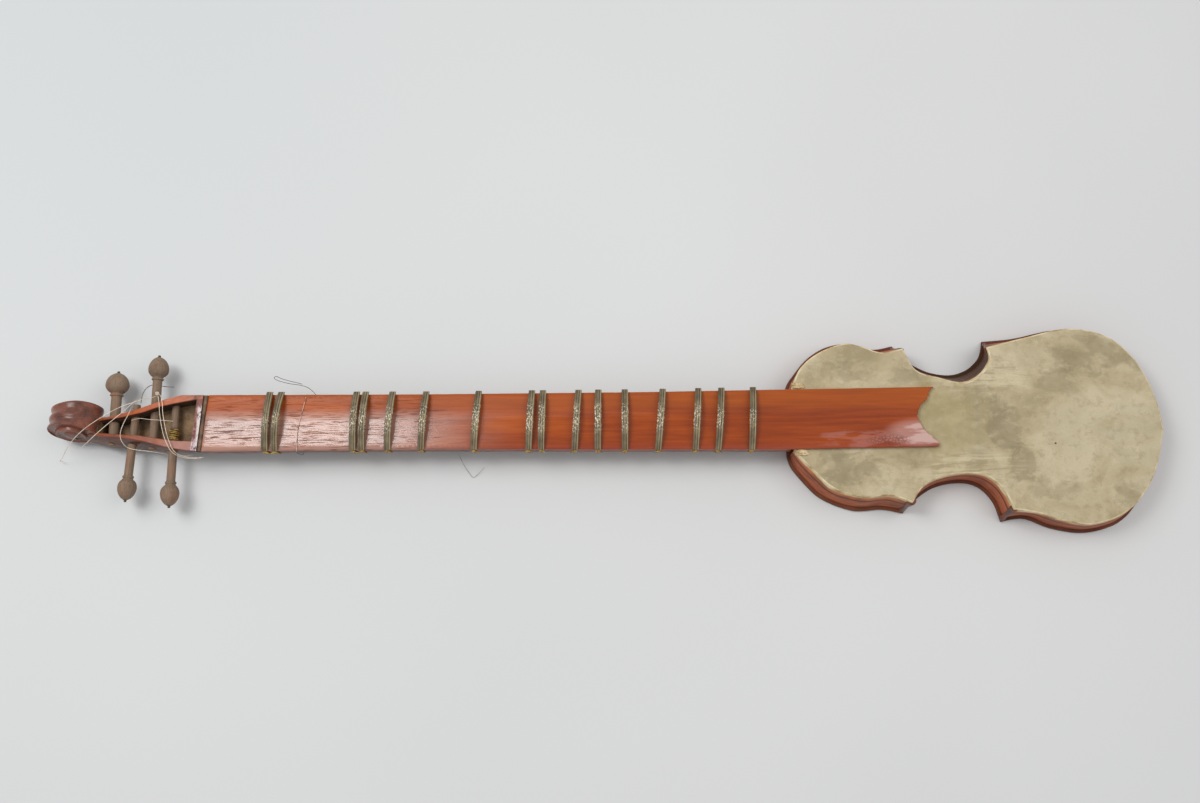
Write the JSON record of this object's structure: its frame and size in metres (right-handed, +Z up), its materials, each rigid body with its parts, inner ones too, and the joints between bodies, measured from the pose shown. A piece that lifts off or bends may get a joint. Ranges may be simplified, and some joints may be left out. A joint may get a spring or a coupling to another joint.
{
  "type": "long-necked skin-bellied lute",
  "caption": "Long-necked folk lute with a violin-outline body, skin belly, tied metal frets, open pegbox with carved scroll and friction pegs.",
  "frame": {"origin": "on the flat underside of the back, near the middle of the body", "axes": "+X along the neck towards the tail, +Y towards the side that the far pegs point to, +Z up out of the skin belly"},
  "size_m": [1.0688, 0.2012, 0.0564],
  "materials": {
    "varnished_board": "gloss orange-red varnish, crazed and worn",
    "head_wood": "semi-gloss red-brown varnish",
    "rib_wood": "satin red-brown stain",
    "plain_wood": "raw",
    "skin": "dull stretched skin, blotched and wrinkled",
    "peg_wood": "matt, worn",
    "fret_metal": "tarnished, grooved",
    "gut": "twisted gut",
    "nut_wood": "dark, worn",
    "string": "limp string remains",
    "wire": "thin tarnished wire"
  },
  "bodies": {
    "instrument": {"back_plate": "rib_wood", "corner_block_lower_far": "plain_wood", "corner_block_lower_near": "plain_wood", "corner_block_upper_far": "plain_wood", "corner_block_upper_near": "plain_wood", "fingerboard": "varnished_board", "neck_block": "plain_wood", "neck_shaft": "head_wood", "neck_wire": "wire", "nut": "nut_wood", "pegbox_scroll": "head_wood", "rib_lower": "rib_wood", "rib_upper_far": "rib_wood", "rib_upper_near": "rib_wood", "rib_waist_far": "rib_wood", "rib_waist_near": "rib_wood", "skin_head": "skin", "string_tail_a": "string", "string_tail_b": "string", "string_tail_c": "string", "string_tail_d": "string", "string_tail_e": "wire", "tail_block": "plain_wood"},
    "peg_a_body": {"peg_a": "peg_wood"},
    "peg_b_body": {"peg_b": "peg_wood"},
    "peg_c_body": {"peg_c": "peg_wood"},
    "peg_d_body": {"peg_d": "peg_wood"},
    "fret_01_02_body": {"fret_01": "fret_metal", "fret_tie_01": "gut", "fret_02": "fret_metal", "fret_tie_02": "gut"},
    "fret_03_04_body": {"fret_03": "fret_metal", "fret_tie_03": "gut", "fret_04": "fret_metal", "fret_tie_04": "gut"},
    "fret_05_body": {"fret_05": "fret_metal", "fret_tie_05": "gut"},
    "fret_06_body": {"fret_06": "fret_metal", "fret_tie_06": "gut"},
    "fret_07_body": {"fret_07": "fret_metal", "fret_tie_07": "gut"},
    "fret_08_body": {"fret_08": "fret_metal", "fret_tie_08": "gut"},
    "fret_09_body": {"fret_09": "fret_metal", "fret_tie_09": "gut"},
    "fret_10_body": {"fret_10": "fret_metal", "fret_tie_10": "gut"},
    "fret_11_body": {"fret_11": "fret_metal", "fret_tie_11": "gut"},
    "fret_12_body": {"fret_12": "fret_metal", "fret_tie_12": "gut"},
    "fret_13_body": {"fret_13": "fret_metal", "fret_tie_13": "gut"},
    "fret_14_body": {"fret_14": "fret_metal", "fret_tie_14": "gut"},
    "fret_15_body": {"fret_15": "fret_metal", "fret_tie_15": "gut"},
    "fret_16_body": {"fret_16": "fret_metal", "fret_tie_16": "gut"}
  },
  "joints": [
    {"name": "peg_a_turn", "type": "hinge", "parent": "instrument", "child": "peg_a_body", "pos_m": [-0.8395, 0, 0.02], "axis": [0, 1, 0], "continuous": true},
    {"name": "peg_b_turn", "type": "hinge", "parent": "instrument", "child": "peg_b_body", "pos_m": [-0.7997, 0, 0.023], "axis": [0, 1, 0], "continuous": true},
    {"name": "peg_c_turn", "type": "hinge", "parent": "instrument", "child": "peg_c_body", "pos_m": [-0.8182, 0, 0.024], "axis": [0.0454, 0.999, 0], "continuous": true},
    {"name": "peg_d_turn", "type": "hinge", "parent": "instrument", "child": "peg_d_body", "pos_m": [-0.779, 0, 0.025], "axis": [0, 1, 0], "continuous": true},
    {"name": "fret_01_02_slide", "type": "slide", "parent": "instrument", "child": "fret_01_02_body", "axis": [1, 0, 0], "range_m": [-0.008, 0.008]},
    {"name": "fret_03_04_slide", "type": "slide", "parent": "instrument", "child": "fret_03_04_body", "axis": [1, 0, 0], "range_m": [-0.008, 0.008]},
    {"name": "fret_05_slide", "type": "slide", "parent": "instrument", "child": "fret_05_body", "axis": [1, 0, 0], "range_m": [-0.008, 0.008]},
    {"name": "fret_06_slide", "type": "slide", "parent": "instrument", "child": "fret_06_body", "axis": [1, 0, 0], "range_m": [-0.008, 0.008]},
    {"name": "fret_07_slide", "type": "slide", "parent": "instrument", "child": "fret_07_body", "axis": [1, 0, 0], "range_m": [-0.008, 0.008]},
    {"name": "fret_08_slide", "type": "slide", "parent": "instrument", "child": "fret_08_body", "axis": [1, 0, 0], "range_m": [-0.008, 0.0015]},
    {"name": "fret_09_slide", "type": "slide", "parent": "instrument", "child": "fret_09_body", "axis": [1, 0, 0], "range_m": [-0.0015, 0.008]},
    {"name": "fret_10_slide", "type": "slide", "parent": "instrument", "child": "fret_10_body", "axis": [1, 0, 0], "range_m": [-0.008, 0.0057]},
    {"name": "fret_11_slide", "type": "slide", "parent": "instrument", "child": "fret_11_body", "axis": [1, 0, 0], "range_m": [-0.0057, 0.008]},
    {"name": "fret_12_slide", "type": "slide", "parent": "instrument", "child": "fret_12_body", "axis": [1, 0, 0], "range_m": [-0.008, 0.008]},
    {"name": "fret_13_slide", "type": "slide", "parent": "instrument", "child": "fret_13_body", "axis": [1, 0, 0], "range_m": [-0.008, 0.008]},
    {"name": "fret_14_slide", "type": "slide", "parent": "instrument", "child": "fret_14_body", "axis": [1, 0, 0], "range_m": [-0.008, 0.007]},
    {"name": "fret_15_slide", "type": "slide", "parent": "instrument", "child": "fret_15_body", "axis": [1, 0, 0], "range_m": [-0.007, 0.008]},
    {"name": "fret_16_slide", "type": "slide", "parent": "instrument", "child": "fret_16_body", "axis": [1, 0, 0], "range_m": [-0.008, 0.006]}
  ]
}
